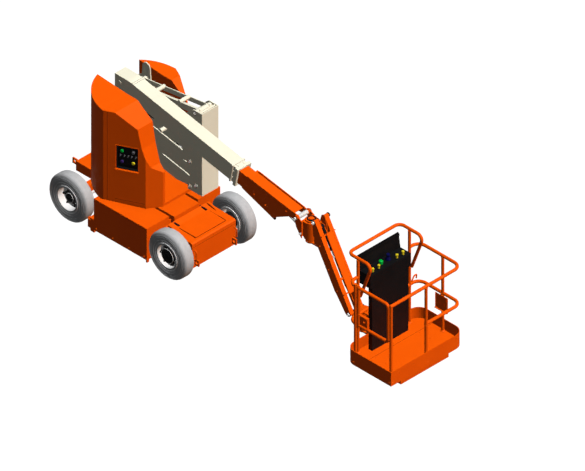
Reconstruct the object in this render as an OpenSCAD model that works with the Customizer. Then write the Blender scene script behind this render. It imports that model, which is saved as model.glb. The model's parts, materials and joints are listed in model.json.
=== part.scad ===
// Electric articulating boom lift, stowed with its jib hanging down. Units are millimetres.
// X points forward to the platform, Y to the left, Z up. Modules draw about the wheelbase centre.

/* [Wheels] */
// Distance between the axles
wheelbase = 1650; // [1500:10:1800]
// Tyre outer diameter
tyre_d = 635; // [560:5:720]
// Tyre width
tyre_w = 178; // [150:1:220]
// Width over the tyres
overall_w = 1220; // [1100:10:1400]

/* [Turntable] */
// Swing axis, measured from the wheelbase centre
swing_x = -175; // [-300:5:100]
// Tail radius of the hoods
tail_r = 605; // [500:5:700]
// Top of the turntable plate
deck_z = 625; // [600:5:700]

/* [Tower] */
// Centre plane of the tower arms
tower_y = 238; // [200:1:300]
// Angle of the lower arm below level
lower_tilt = 10.7; // [5:0.1:20]
// Lower arm length, pin to pin
low_len = 983; // [900:1:1100]
// Height between the lower arm's pins and the lower link's pins
link_drop = 353; // [300:1:400]

/* [Boom] */
// Boom angle below level
boom_tilt = 11.3; // [0:0.1:20]
// Boom tube half width
boom_hw = 88; // [70:1:120]
// Boom tube height
boom_h = 236; // [180:1:300]

/* [Jib] */
// Jib angle below level
jib_tilt = 60.3; // [0:0.1:75]
// Jib length, pin to pin
jib_l = 1180; // [1000:5:1400]

/* [Platform] */
// Platform length
plat_l = 760; // [700:5:1000]
// Platform half width
plat_hw = 610; // [500:5:700]
// Guard rail height above the floor
rail_h = 1077; // [1000:1:1150]
// Guard rail tube radius
rail_r = 21; // [16:1:25]

/* [Hidden] */
$fn = 48;
orange = [0.95, 0.36, 0.03];
cream = [0.93, 0.9, 0.8];
black = [0.05, 0.05, 0.055];
steel = [0.75, 0.76, 0.78];
grey = [0.45, 0.46, 0.47];
axle_z = tyre_d / 2;
wheel_x = wheelbase / 2;
wheel_y = (overall_w - tyre_w) / 2;
pin_r = 24;
pin_gap = 0.3;
// Running gap of a wear pad or a thrust face
pad_gap = 0.4;
kingpin_y = 455;
// Tower pivots, in X and Z
low_rear = [-460, 1352];
low_front = low_rear + low_len * [cos(lower_tilt), -sin(lower_tilt)];
// Step on the middle upright from the lower arm's pin to the upper arm's pin
upright_step = [84.091, 733.51];
high_front = low_front + upright_step;
high_rear = [-469.587, 1754.085];
high_reach = high_front - high_rear;
high_len = norm(high_reach);
upper_tilt = atan2(high_reach[1], high_reach[0]);
link_step = [-98, -81];
// Boom pivots
boom_pin = [-470, 1915];
nose_pin = [2480, 1450];
// Reach from the nose pin to the turret axis, and on to the jib's pin
turret_reach = 147;
jib_reach = 155;
turret_x = nose_pin[0] + turret_reach;
jib_pin = [turret_x + jib_reach, 1538];
jib_end = jib_pin + jib_l * [cos(jib_tilt), -sin(jib_tilt)];
link_arm = 150 * [cos(78), -sin(78)];
// Rotator axis and platform, carried on the jib's end
rotor_x = jib_end[0] + 133.361;
plat_x0 = rotor_x + 298;
plat_x1 = plat_x0 + plat_l;
floor_z = jib_end[1] - 150.024;
shift_x = (plat_x1 - wheel_x - tyre_d / 2) / 2;

// Helpers

// A plate in the XZ plane between two Y values
module slab(y0, y1, pts) {
    translate([0, y1, 0]) rotate([90, 0, 0]) linear_extrude(height = y1 - y0) polygon(pts);
}

// A round bar along Y
module ybar(p, r, y0, y1) {
    translate([p[0], y1, p[1]]) rotate([90, 0, 0]) cylinder(r = r, h = y1 - y0);
}

// A box by its limits
module box(x0, x1, y0, y1, z0, z1) {
    translate([x0, y0, z0]) cube([x1 - x0, y1 - y0, z1 - z0]);
}

// A local frame at a point, with its X axis raised by an angle
module at(p, a) {
    translate([p[0], 0, p[1]]) rotate([0, -a, 0]) children();
}

// A round bar along X
module xbar(x0, x1, y, z, r) {
    translate([x0, y, z]) rotate([0, 90, 0]) cylinder(r = r, h = x1 - x0);
}

// A plan-view bend of a rail: a quarter of a ring
module bend(cx, cy, z, r, a0) {
    translate([cx, cy, z]) rotate([0, 0, a0]) rotate_extrude(angle = 90) translate([r, 0]) circle(r = rail_r);
}

// Points moved by a step
function shifted(pts, by) = [for (p = pts) p + by];

function arc(cx, cy, r, a0, a1, n) =
    [for (i = [0 : n]) [cx + r * cos(a0 + (a1 - a0) * i / n), cy + r * sin(a0 + (a1 - a0) * i / n)]];

// Chassis

module side_box() {
    difference() {
        box(-374, 505, 240, 610, 105, 555);
        box(-362, 493, 252, 598, 117, 545);
        box(-322, 453, 292, 558, 90, 130);
    }
    box(485, 505, 570, 605, 68, 105);
    slab_corner();
}

module slab_corner() {
    translate([0, 0, 62]) linear_extrude(height = 183)
        polygon(concat([[-374, 500], [-374, 605]], arc(-425, 575, 30, 90, 180, 6), [[-455, 500]]));
}

module tie_lug(x0, x1, y0, z0, z1, bx, bz) {
    difference() {
        box(x0, x1, y0, y0 + 20, z0, z1);
        ybar([bx, bz], 20, y0 - 1, y0 + 21);
    }
}

module chassis_frame() color(orange) {
    difference() {
        union() {
            side_box();
            mirror([0, 1, 0]) side_box();
            // Centre tub
            difference() {
                box(-400, 562, -208, 208, 130, 555);
                box(-388, 550, -196, 196, 120, 541);
            }
            for (s = [-1, 1]) {
                box(-374, 505, s > 0 ? 208 : -240, s > 0 ? 240 : -208, 130, 142);
                box(-374, -362, s > 0 ? 208 : -240, s > 0 ? 240 : -208, 142, 500);
                box(493, 505, s > 0 ? 208 : -240, s > 0 ? 240 : -208, 142, 500);
            }
            // Drive end box, open below and above
            difference() {
                box(562, 1010, -362, 362, 112, 405);
                box(574, 998, -350, 350, 100, 410);
            }
            // Steer end beam
            difference() {
                box(-1065, -400, -215, 215, 420, 552);
                box(-1053, -400, -203, 203, 432, 540);
            }
            box(-885, -765, -150, 150, 368, 420);
        }
        ybar([wheel_x, axle_z], 76, -400, 400);
    }
    for (s = [-1, 1]) {
        tie_lug(1010, 1075, s > 0 ? 300 : -320, 150, 232, 1040, 191);
        tie_lug(-1135, -1065, s > 0 ? 185 : -205, 490, 565, -1100, 530);
    }
}

module drive_cover() color(orange) {
    difference() {
        slab(-362, 362, [[562, 405], [1010, 405], [1010, 455], [990, 466], [640, 478], [566, 500],
            [562, 500]]);
        slab(-350, 350, [[574, 400], [998, 400], [998, 448], [986, 456], [640, 466], [574, 486]]);
    }
    // Raised lid
    slab(-250, 250, [[690, 474], [950, 465], [950, 476], [690, 485]]);
    for (s = [-1, 1])
        translate([0, s * 325, 0])
            slab(-14, 14, [[580, 490], [730, 473], [730, 486], [640, 512], [580, 514]]);
}

module battery_packs() color(black) {
    for (s = [-1, 1])
        box(-352, 483, s > 0 ? 262 : -588, s > 0 ? 588 : -262, 117, 420);
}

module drive_axle() color(black) {
    ybar([wheel_x, axle_z], 62, -395, 395);
    for (s = [-1, 1])
        translate([0, s * 395, 0]) ybar([wheel_x, axle_z], 105, s > 0 ? 0 : -75, s > 0 ? 75 : 0);
    box(wheel_x - 90, wheel_x + 90, -350, 350, axle_z - 85, axle_z + 50);
}

module steer_axle() color(orange) {
    difference() {
        union() {
            box(-wheel_x - 42, -wheel_x + 42, -365, 365, axle_z - 50, axle_z + 50.5);
            for (s = [-1, 1], z = [-70, 44]) translate([-wheel_x, 0, axle_z + z]) {
                box(-34, 34, s > 0 ? 350 : -kingpin_y, s > 0 ? kingpin_y : -350, 0, 26);
                translate([0, s * kingpin_y, 0]) cylinder(r = 34, h = 26);
            }
            for (s = [-1, 1])
                translate([-wheel_x, s * 370, axle_z]) translate([-26, -14, -70]) cube([52, 28, 140]);
        }
        for (s = [-1, 1])
            translate([-wheel_x, s * kingpin_y, axle_z - 90]) cylinder(r = 16, h = 180);
    }
    // Steering cylinder barrel
    difference() {
        union() {
            ybar([-wheel_x + 110, axle_z], 38, -170, 170);
            box(-wheel_x + 42, -wheel_x + 90, -60, 60, axle_z - 25, axle_z + 25);
        }
        ybar([-wheel_x + 110, axle_z], 18.3, -180, 180);
    }
}

module steer_knuckle(s) color(black) {
    translate([-wheel_x, s * kingpin_y, axle_z]) {
        difference() {
            translate([0, 0, -44 + pad_gap]) cylinder(r = 34, h = 88 - 2 * pad_gap);
            translate([0, 0, -50]) cylinder(r = 12, h = 100);
        }
        translate([0, 0, -72]) cylinder(r = 15.7, h = 144);
        for (z = [-75 - pad_gap, 70 + pad_gap]) translate([0, 0, z]) cylinder(r = 26, h = 5);
        translate([0, s * 30, 0]) rotate([-s * 90, 0, 0]) cylinder(r = 30, h = 62);
        // Steering arm
        rotate([0, 0, -s * 19]) box(20, 112, -12, 12, -10, 10);
        translate([110, -s * 38, -11]) cylinder(r = 14, h = 22);
    }
}
module steer_knuckle_left() steer_knuckle(1);
module steer_knuckle_right() steer_knuckle(-1);

module steer_rod() color(steel) {
    ybar([-wheel_x + 110, axle_z], 18, -398, 398);
}

// Wheels

tyre_half = [[-62, 170], [-78, 176], [-84, 200], [-89, 235], [-86, 270], [-74, 300], [-58, 313], [-40, 317.5],
    [40, 317.5], [58, 313], [74, 300], [86, 270], [89, 235], [84, 200], [78, 176], [62, 170]];

module wheel_at(x, s) {
    translate([x, s * wheel_y, axle_z]) rotate([-s * 90, 0, 0]) children();
}

module tyre() color(grey) {
    rotate_extrude($fn = 72) polygon([for (p = tyre_half) [p[1], p[0]]]);
}

// Wheel disc: its outer side is +Z. The dish is how far the disc lies below the rim's lip
module wheel_disc(dish, hub_r, hub_z) {
    color(steel) difference() {
        union() {
            translate([0, 0, -75]) cylinder(r = 170, h = 150);
            for (z = [-84, 73.5]) translate([0, 0, z]) cylinder(r = 174, h = 10.5);
        }
        translate([0, 0, 84 - dish]) cylinder(r = 150, h = 200);
        translate([0, 0, -100]) cylinder(r = 145, h = 170 - dish);
    }
    color(steel) translate([0, 0, 80 - dish]) cylinder(r = hub_r, h = hub_z - 80 + dish);
    for (k = [0 : 5]) rotate([0, 0, k * 60]) translate([118, 0, 80 - dish]) cylinder(r = 11, h = 22, $fn = 6);
}

module drive_tyre_left() wheel_at(wheel_x, 1) tyre();
module drive_tyre_right() wheel_at(wheel_x, -1) tyre();
module steer_tyre_left() wheel_at(-wheel_x, 1) tyre();
module steer_tyre_right() wheel_at(-wheel_x, -1) tyre();
module drive_hub() {
    wheel_disc(56, 98, 72);
    color(steel) translate([0, 0, 470 - wheel_y + pad_gap]) cylinder(r = 60, h = 76);
}
module steer_hub() {
    difference() {
        union() {
            wheel_disc(95, 62, 44);
            translate([0, 0, -22]) cylinder(r = 58, h = 40);
        }
        translate([0, 0, -30]) cylinder(r = 30.3, h = 58);
    }
}
module drive_wheel_left() wheel_at(wheel_x, 1) drive_hub();
module drive_wheel_right() wheel_at(wheel_x, -1) drive_hub();
module steer_wheel_left() wheel_at(-wheel_x, 1) steer_hub();
module steer_wheel_right() wheel_at(-wheel_x, -1) steer_hub();

// Turntable

module slew_ring() color(black) {
    translate([swing_x, 0, 555]) difference() {
        cylinder(r = 330, h = 35);
        translate([0, 0, -1]) cylinder(r = 250, h = 40);
    }
}

// Rear edge of the tower's posts
post_x = -565;
module tower_post(y0, y1) {
    slab(y0, y1, [[post_x, deck_z], [-120, deck_z], [-385, 1080], [-410, 1400], [-500, 1410], [-545, 1300],
        [-555, 900]]);
}

module turntable_base() color(orange) {
    difference() {
        translate([0, 0, 590 + pad_gap]) linear_extrude(height = deck_z - 590 - pad_gap) intersection() {
            translate([swing_x, 0]) circle(r = tail_r - 9);
            polygon([[swing_x - tail_r, 9 - tail_r], [-300, 9 - tail_r], [240, -362], [352, -190], [352, 385],
                [swing_x - tail_r, tail_r - 9]]);
        }
        translate([swing_x, 0, 580]) cylinder(r = 180, h = 60);
    }
    tower_post(tower_y - 113, tower_y - 101);
    tower_post(tower_y + 101, tower_y + 113);
    for (p = [low_rear, low_rear - [0, link_drop]]) ybar(p, pin_r, tower_y - 118, tower_y + 118);
}

near_plan = [[-800, -165], [-800, -640], [-300.6, -640], [247, -371], [363, -195], [363, -165]];
near_plan_in = [[-800, -171], [-800, -640], [-287, -627], [243, -366], [357, -191], [357, -171]];
far_plan = [[-800, 398], [-800, 640], [-300.6, 640], [192, 398]];
far_plan_in = [[-800, 404], [-800, 640], [-300.6, 633], [166, 404]];
hood_side = [[-800, deck_z], [-800, 1933], [-257, 1893], [-93, 1891], [157, 1710], [205, 1439], [282, 1178],
    [363, 1090], [363, deck_z]];
hood_side_in = [[-800, deck_z - 5], [-800, 1927], [-257, 1887], [-95, 1885], [152, 1706], [199, 1437],
    [277, 1174], [357, 1087], [357, deck_z - 5]];

module hood_form(plan, side, r, y0, y1) {
    intersection() {
        linear_extrude(height = 2100) polygon(plan);
        slab(y0, y1, side);
        translate([swing_x, 0, 0]) cylinder(r = r, h = 2100, $fn = 96);
    }
}

// Frame of the ground control face
module on_face() {
    translate([-205, -593, 0]) rotate([0, 0, 26.2]) children();
}

module hood_right() color(orange) {
    difference() {
        union() {
            difference() {
                hood_form(near_plan, hood_side, tail_r, -700, 0);
                hood_form(near_plan_in, hood_side_in, tail_r - 6, -700, 0);
            }
            on_face() box(131, 416, 3, 62, 1094, 1436);
        }
        on_face() box(137, 410, -5, 56, 1100, 1430);
    }
}

module hood_left() color(orange) {
    difference() {
        hood_form(far_plan, hood_side, tail_r, 0, 700);
        hood_form(far_plan_in, hood_side_in, tail_r - 6, 0, 700);
    }
}

module ground_controls() color(black) {
    on_face() {
        difference() {
            box(137 + pin_gap, 410 - pin_gap, 6, 56 - pin_gap, 1100 + pin_gap, 1430 - pin_gap);
            box(145, 402, 0, 44, 1108, 1422);
        }
        for (k = [[205, 1352], [345, 1352], [205, 1200], [345, 1200]])
            translate([k[0], 46, k[1]]) rotate([90, 0, 0]) cylinder(r = 19, h = 30);
    }
}

module counterweight() color(orange) {
    intersection() {
        translate([swing_x, 0, deck_z]) cylinder(r = tail_r - 15, h = 560, $fn = 96);
        box(swing_x - tail_r - 20, post_x - 20, -155, 385, deck_z, 1180);
    }
}

// Tower

// Two side plates of a tower arm, on either side of its centre plane
module arm_plates(y_in, y_out, pts) {
    for (s = [-1, 1])
        translate([0, tower_y, 0]) slab(s > 0 ? y_in : -y_out, s > 0 ? y_out : -y_in, pts);
}

// Bored tube across the tower at a local point
module boss(x, z, r, hw) {
    ybar([x, z], r, tower_y - hw, tower_y + hw);
}

module lower_arm() color(cream) {
    at(low_rear, -lower_tilt) difference() {
        union() {
            arm_plates(85, 97, [[-34, -34], [0, -42], [100, -230], [low_len * 0.52, -250],
                [low_len - 360, -190], [low_len - 320, -120], [low_len - 120, -80], [low_len, -40],
                [low_len + 34, -34],
                [low_len + 34, 34], [low_len * 0.55, 40], [0, 40], [-34, 34]]);
            boss(0, 0, 38, 99);
            boss(low_len, 0, 38, 118);
            boss(low_len * 0.437, 52, 26, 92);
        }
        for (x = [0, low_len]) ybar([x, 0], pin_r + pin_gap, 0, 600);
    }
}

module lower_link() color(cream) {
    at(low_rear - [0, link_drop], -lower_tilt) difference() {
        union() {
            arm_plates(62, 74, [[-36, -30], [0, -36], [120, -120], [low_len - 260, -120], [low_len - 60, -62],
                [low_len + 8, -34], [low_len + 36, -12], [low_len + 36, 26], [low_len - 20, 60],
                [low_len - 120, 77], [120, 77], [-20, 36], [-36, 26]]);
            boss(low_len, 0, 34, 116);
        }
        for (x = [0, low_len]) ybar([x, 0], pin_r + pin_gap, 0, 600);
    }
}

tower_base = low_rear - [0, link_drop];
tower_eye = low_rear + (low_len - 183) * [cos(lower_tilt), -sin(lower_tilt)]
    - 30 * [sin(lower_tilt), cos(lower_tilt)];
tower_ram = tower_eye - tower_base;
tower_ram_l = norm(tower_ram);
tower_ram_a = atan2(tower_ram[1], tower_ram[0]);

// A ram barrel along local X from its eye
module barrel(len, r, rod_r, eye_r, hw, bore_r, yc) {
    difference() {
        union() {
            xbar(eye_r - 10, len, yc, 0, r);
            xbar(len - 40, len, yc, 0, r + 6);
            ybar([0, 0], eye_r, yc - hw, yc + hw);
        }
        ybar([0, 0], bore_r, yc - 100, yc + 100);
        xbar(eye_r + 30, len + 1, yc, 0, rod_r + pin_gap);
    }
}

// A ram rod along local X, with its eye at the far end
module rod(x0, x1, rod_r, eye_r, hw, bore_r, yc) {
    difference() {
        union() {
            xbar(x0, x1 - 5, yc, 0, rod_r);
            ybar([x1, 0], eye_r, yc - hw, yc + hw);
        }
        ybar([x1, 0], bore_r, yc - 100, yc + 100);
    }
}

module tower_barrel() color(black) {
    at(tower_base, tower_ram_a) barrel(tower_ram_l - 190, 42, 25, 40, 40, pin_r + pin_gap, tower_y);
}
module tower_rod() color(steel) {
    at(tower_base, tower_ram_a) rod(130, tower_ram_l, 25, 36, 30, 20, tower_y);
}

module mid_upright() color(cream) {
    arm_side = [[14, 400], [-181, 231], [-95, 64], [-54, 30], [-54, -40], [-6, -110], [-6, -270]];
    top_side = [[120, 44], [-30, 44], [-50, 27], [-138, -53], [-138, -123], [-70, -203]];
    foot_z = low_front[1] - 400;
    front_x = high_front[0] + 120;
    for (y = [tower_y - 136, tower_y + 124])
        slab(y, y + 12, concat([[low_front[0] - 36, foot_z], [front_x, foot_z]],
            shifted(top_side, high_front), shifted(arm_side, low_front)));
    box(front_x - 12, front_x, tower_y - 136, tower_y + 136, foot_z, high_front[1] + 44);
    box(low_front[0] + 54, front_x - 10, tower_y - 136, tower_y + 136, foot_z, foot_z + 12);
    for (p = [low_front, low_front - [0, link_drop], high_front, high_front + link_step])
        ybar(p, pin_r, tower_y - 136, tower_y + 136);
    for (p = [low_front, low_front - [0, link_drop], low_front + [99, -301.5]])
        ybar(p, 30, tower_y - 140, tower_y - 134);
    ybar(high_front + [72, 27], 14, tower_y - 130, tower_y + 130);
}

module upper_arm() color(cream) {
    at(high_front, 180 + upper_tilt) difference() {
        union() {
            for (s = [-1, 1])
                translate([0, tower_y, 0]) slab(s > 0 ? 72 : -84, s > 0 ? 84 : -72,
                    [[-32, -32], [high_len + 32, -32], [high_len + 32, 24], [high_len, 32], [0, 32],
                     [-32, 24]]);
            boss(0, 0, 34, 120);
            boss(high_len, 0, 34, 114);
            boss(high_len * 0.29, -26, 26, 84);
            boss(high_len * 0.68, -26, 26, 84);
        }
        for (x = [0, high_len]) ybar([x, 0], pin_r + pin_gap, 0, 600);
    }
}

module upper_link() color(cream) {
    at(high_front + link_step, 180 + upper_tilt) difference() {
        union() {
            translate([0, tower_y, 0]) slab(-40, 40,
                [[-28, -22], [high_len + 28, -22], [high_len + 28, 22], [-28, 22]]);
            boss(0, 0, 30, 118);
            boss(high_len, 0, 30, 112);
        }
        for (x = [0, high_len]) ybar([x, 0], pin_r + pin_gap, 0, 600);
    }
}

boom_base_pin = [-410, 1618];
boom_eye = [100, 1650];
boom_ram = boom_eye - boom_base_pin;
boom_ram_l = norm(boom_ram);
boom_ram_a = atan2(boom_ram[1], boom_ram[0]);

module top_upright() color(cream) {
    cheek = concat([[-628, 1600], [-575, 1566], [-385, 1570], [-370, 1640], [-395, 1770]],
        arc(-470, 1915, 62, 0, 180, 10), [[-540, 1790], [-628, 1720]]);
    slab(tower_y - 134, tower_y - 118, cheek);
    slab(tower_y + 116, tower_y + 130, cheek);
    box(-628, -612, tower_y - 134, tower_y + 130, 1605, 1715);
    for (p = [high_rear, high_rear + link_step]) ybar(p, pin_r, tower_y - 130, tower_y + 128);
    ybar(boom_pin, 28, -92, tower_y - 110);
    ybar(boom_base_pin, 22, -34, tower_y - 120);
    ybar(boom_pin, 44, tower_y - 140, tower_y - 116);
}

// Boom

module boom_barrel() color(black) {
    at(boom_base_pin, boom_ram_a) barrel(boom_ram_l - 71, 34, 22, 36, 30, 22 + pin_gap, 0);
}
module boom_rod() color(steel) {
    at(boom_base_pin, boom_ram_a) rod(100, boom_ram_l, 22, 32, 24, 18, 0);
}

// Local frame on the boom's centre line, from the boom pivot's X
boom_top0 = [-301, 2008];
boom_start = boom_top0 - (boom_h / 2) * [sin(boom_tilt), cos(boom_tilt)];
module on_boom() {
    at(boom_start, -boom_tilt) children();
}
boom_len = 1850;

module boom_base() color(cream) {
    difference() {
        union() {
            // Pivot bracket
            slab(-boom_hw, boom_hw, [[-548, 1822], [-300, 1770], [-250, 1770], [-262, 2000], [-301, 2008],
                [-339, 2011], [-548, 2011]]);
            on_boom() box(0, boom_len, -boom_hw, boom_hw, -boom_h / 2, boom_h / 2);
            on_boom() box(boom_len - 38, boom_len, -boom_hw - 25, boom_hw + 25, -boom_h / 2 - 12,
                boom_h / 2 + 12);
            on_boom() box(boom_len - 110, boom_len - 88, -boom_hw - 14, boom_hw + 14, -boom_h / 2 - 8,
                boom_h / 2 + 8);
        }
        on_boom() box(70, boom_len + 1, -boom_hw + 9, boom_hw - 9, -boom_h / 2 + 10, boom_h / 2 - 10);
        ybar(boom_pin, 28 + pin_gap, -100, 100);
    }
    // Wear pads at the mouth
    on_boom() for (s = [-1, 1]) {
        box(boom_len - 70, boom_len - 6, -60, 60, s > 0 ? fly_h / 2 + pad_gap : -boom_h / 2 + 9,
            s > 0 ? boom_h / 2 - 9 : -fly_h / 2 - pad_gap);
        box(boom_len - 70, boom_len - 6, s > 0 ? fly_hw + pad_gap : -boom_hw + 8,
            s > 0 ? boom_hw - 8 : -fly_hw - pad_gap, -70, 70);
    }
    // Ram lug
    for (y = [-44, 30])
        slab(y, y + 14, concat([[30, 1708]], arc(boom_eye[0], boom_eye[1], 30, 200, 340, 8), [[170, 1680]]));
}

fly_hw = 75;
fly_h = 196;
// How far the fly's tube ends behind the nose pin, and where that is along the boom
fly_back = 556.427314;
fly_end = (nose_pin - boom_start) * [cos(boom_tilt), -sin(boom_tilt)] - fly_back;
module fly_boom() color(orange) {
    on_boom() difference() {
        box(180, fly_end, -fly_hw, fly_hw, -fly_h / 2, fly_h / 2);
        box(170, fly_end + 10, -fly_hw + 8, fly_hw - 8, -fly_h / 2 + 8, fly_h / 2 - 8);
    }
    // Rear wear pads
    on_boom() for (s = [-1, 1]) {
        box(186, 246, -60, 60, s > 0 ? fly_h / 2 - 1 : -boom_h / 2 + 10 + pad_gap,
            s > 0 ? boom_h / 2 - 10 - pad_gap : -fly_h / 2 + 1);
        box(186, 246, s > 0 ? fly_hw - 1 : -boom_hw + 9 + pad_gap,
            s > 0 ? boom_hw - 9 - pad_gap : -fly_hw + 1, -70, 70);
    }
    difference() {
        at(nose_pin, -boom_tilt) for (s = [-1, 1])
            slab(s > 0 ? 75 : -87, s > 0 ? 87 : -75,
                [[-900, -215], [-854, 9], [0, 30], [28, 20], [34, -10], [24, -34], [-130, -86],
                 [-325, -250], [-340, -294]]);
        ybar(nose_pin, 26 + pin_gap, -200, 200);
    }
    at(nose_pin, -boom_tilt) {
        slab(-76, 76, [[-850, -1], [-850, 9], [-60, 28], [-60, 18]]);
        slab(-76, 76, [[-880, -218], [-880, -207], [-349, -282], [-342, -293]]);
        slab(-76, 76, [[-342, -293], [-351, -286], [-334, -244], [-325, -250]]);
    }
}

level_pin = nose_pin + [25, -218];
module level_rod() color(steel) {
    at(level_pin, 180 - boom_tilt - 11) difference() {
        union() {
            xbar(10, 460, 0, 0, 17);
            ybar([0, 0], 26, -20, 20);
        }
        ybar([0, 0], 16.3, -30, 30);
    }
}

// Radius of the mount's housing about the turret axis
mount_r = 88;
module jib_mount() color(orange) {
    difference() {
        union() {
            translate([turret_x, 0, 1172]) cylinder(r = 70, h = 40);
            translate([turret_x, 0, 1200]) cylinder(r = mount_r, h = 242);
            slab(-mount_r + 0.5, mount_r - 0.5, [[turret_x - 77, 1262], [turret_x - 27, 1202],
                [turret_x, 1202], [turret_x, 1438], [turret_x - 77, 1438]]);
            box(turret_x - 79, turret_x - 55, -108, 108, 1230, 1440);
            for (s = [-1, 1]) {
                slab(s > 0 ? 94 : -108, s > 0 ? 108 : -94, concat([[nose_pin[0] - 2, 1330]],
                    arc(nose_pin[0], nose_pin[1], 36, 190, 70, 8),
                    [[turret_x - 61, 1440], [turret_x - 61, 1200]]));
                slab(s > 0 ? 24 : -38, s > 0 ? 38 : -24,
                    concat(arc(level_pin[0], level_pin[1], 28, 120, 260, 6),
                        [[turret_x - 47, 1190], [turret_x - 47, 1280]]));
            }
        }
        translate([turret_x, 0, 1160]) cylinder(r = 30, h = 300);
    }
    ybar(nose_pin, 26, -114, 114);
    ybar(level_pin, 16, -42, 42);
}

// Jib

jib_ram_base = jib_pin + 100 * [cos(78.3), -sin(78.3)];
jib_ram_eye = jib_pin + 480 * [cos(jib_tilt), -sin(jib_tilt)];
jib_ram = jib_ram_eye - jib_ram_base;
jib_ram_l = norm(jib_ram);
jib_ram_a = atan2(jib_ram[1], jib_ram[0]);

module jib_turret() color(orange) {
    translate([turret_x, 0, 1146]) cylinder(r = 29.6, h = 329);
    for (z = [1152 - pad_gap, 1442 + pad_gap]) {
        translate([turret_x, 0, z]) cylinder(r = 72, h = 20);
        box(turret_x, jib_pin[0] - 22, -50, 50, z, z + 20);
    }
    web_x = turret_x + mount_r + 7;
    box(web_x, web_x + 12, -49.5, 49.5, 1152, 1461);
    for (s = [-1, 1]) {
        slab(s > 0 ? 41.5 : -49.5, s > 0 ? 49.5 : -41.5, concat([[web_x + 4, 1152], [jib_pin[0] + 18, 1152],
            jib_pin + [63, -168], jib_pin + [63, -118]], arc(jib_pin[0], jib_pin[1], 34, 0, 150, 8),
            [[web_x + 4, 1468]]));
        // Ram lugs inside the links
        slab(s > 0 ? 22 : -28, s > 0 ? 28 : -22, concat([[web_x + 4, 1400]],
            arc(jib_ram_base[0], jib_ram_base[1], 24, -110, 100, 8), [[web_x + 4, 1470]]));
        ybar(jib_pin, 22, s > 0 ? 41.5 : -118, s > 0 ? 118 : -41.5);
        ybar(jib_pin + link_arm, 18, s > 0 ? 29 : -46, s > 0 ? 46 : -29);
    }
    ybar(jib_ram_base, 16, -28, 28);
}

module jib_arm() color(orange) {
    at(jib_pin, -jib_tilt) {
        difference() {
            union() {
                for (s = [-1, 1])
                    slab(s > 0 ? 52 : -112, s > 0 ? 112 : -52, [[-22, -16], [-10, -26], [150, -106],
                        [jib_l - 300, -106], [jib_l - 275, -97], [jib_l - 6, -66], [jib_l + 20, -40],
                        [jib_l + 28, 0], [jib_l + 18, 20], [-14, 22], [-24, 6]]);
                for (t = [185, jib_l - 250]) box(t, t + 12, -112, 112, 18, 44);
                box(178, jib_l - 230, -40, 65, 42, 50);
                ybar([jib_l - 420, 2], 16, -60, 60);
            }
            ybar([0, 0], 22 + pin_gap, -200, 200);
            ybar([jib_l, 0], 22 + pin_gap, -200, 200);
        }
    }
}

module jib_link() color(orange) {
    at(jib_pin + link_arm, -jib_tilt) difference() {
        for (s = [-1, 1])
            slab(s > 0 ? 32 : -40, s > 0 ? 40 : -32,
                [[-22, -20], [jib_l + 22, -20], [jib_l + 22, 20], [-22, 20]]);
        for (x = [0, jib_l]) ybar([x, 0], 18 + pin_gap, -60, 60);
    }
}

module jib_barrel() color(black) {
    at(jib_ram_base, jib_ram_a) barrel(310, 20, 14, 24, 21.5, 16 + pin_gap, 0);
}
module jib_rod() color(steel) {
    at(jib_ram_base, jib_ram_a) rod(70, jib_ram_l, 14, 22, 20, 12, 0);
}

module jib_head() color(orange) {
    for (s = [-1, 1])
        slab(s > 0 ? 41.5 : -49.5, s > 0 ? 49.5 : -41.5, shifted([[-27, 27], [-27, -23], [5, -173],
            [53, -183], [103, -178], [103, 47], [23, 47]], jib_end));
    difference() {
        translate([rotor_x, 0, floor_z - 33 + pad_gap]) cylinder(r = 70, h = 256 - 2 * pad_gap);
        translate([rotor_x, 0, floor_z - 63]) cylinder(r = 28, h = 400);
    }
    ybar(jib_end, 22, -118, 118);
    ybar(jib_end + link_arm, 18, -46, 46);
}

// Platform

module platform_mount() color(orange) {
    beam_z = floor_z - 146;
    beam_top = floor_z - 46;
    front_x = plat_x1 - 50;
    translate([rotor_x, 0, floor_z - 63]) cylinder(r = 27.6, h = 310);
    for (z = [floor_z - 53, floor_z + 223]) {
        translate([rotor_x, 0, z]) cylinder(r = 70, h = 20);
        box(rotor_x, rotor_x + 100, -58, 58, z, z + 20);
    }
    box(rotor_x + 96, rotor_x + 140, -58, 58, floor_z - 128, floor_z + 243);
    box(rotor_x + 96, rotor_x + 220, -58, 58, floor_z - 128, floor_z - 63);
    for (s = [-1, 1]) {
        box(rotor_x + 200, front_x, s > 0 ? 330 : -397, s > 0 ? 397 : -330, beam_z, beam_top);
        box(plat_x0 + 8, front_x, s > 0 ? 330 : -397, s > 0 ? 397 : -330, beam_top - 7, floor_z - 12);
    }
    box(rotor_x + 200, plat_x0 - 8, -397, 397, beam_z, beam_top);
    box(front_x - 68, front_x, -397, 397, beam_z, beam_top);
}

corner_r = 140;
module plat_plan(i) {
    r = corner_r - i;
    polygon(concat([[plat_x1 - i, -plat_hw + i]],
        arc(plat_x1 - corner_r, plat_hw - corner_r, r, 0, 90, 8),
        arc(plat_x0 + corner_r, plat_hw - corner_r, r, 90, 180, 8),
        arc(plat_x0 + corner_r, -plat_hw + corner_r, r, 180, 270, 8)));
}

module platform_floor() color(orange) {
    difference() {
        translate([0, 0, floor_z - 46]) linear_extrude(height = 200) plat_plan(0);
        translate([0, 0, floor_z]) linear_extrude(height = 200) plat_plan(6);
        translate([0, 0, floor_z - 63]) linear_extrude(height = 51) plat_plan(6);
    }
}

rail_in = 6 + rail_r + 2;
rail_top = floor_z + rail_h;
rail_mid = floor_z + 542;
module post(x, y, z1) {
    translate([x, y, floor_z]) cylinder(r = rail_r - 1.5, h = z1 - floor_z);
}

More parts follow.
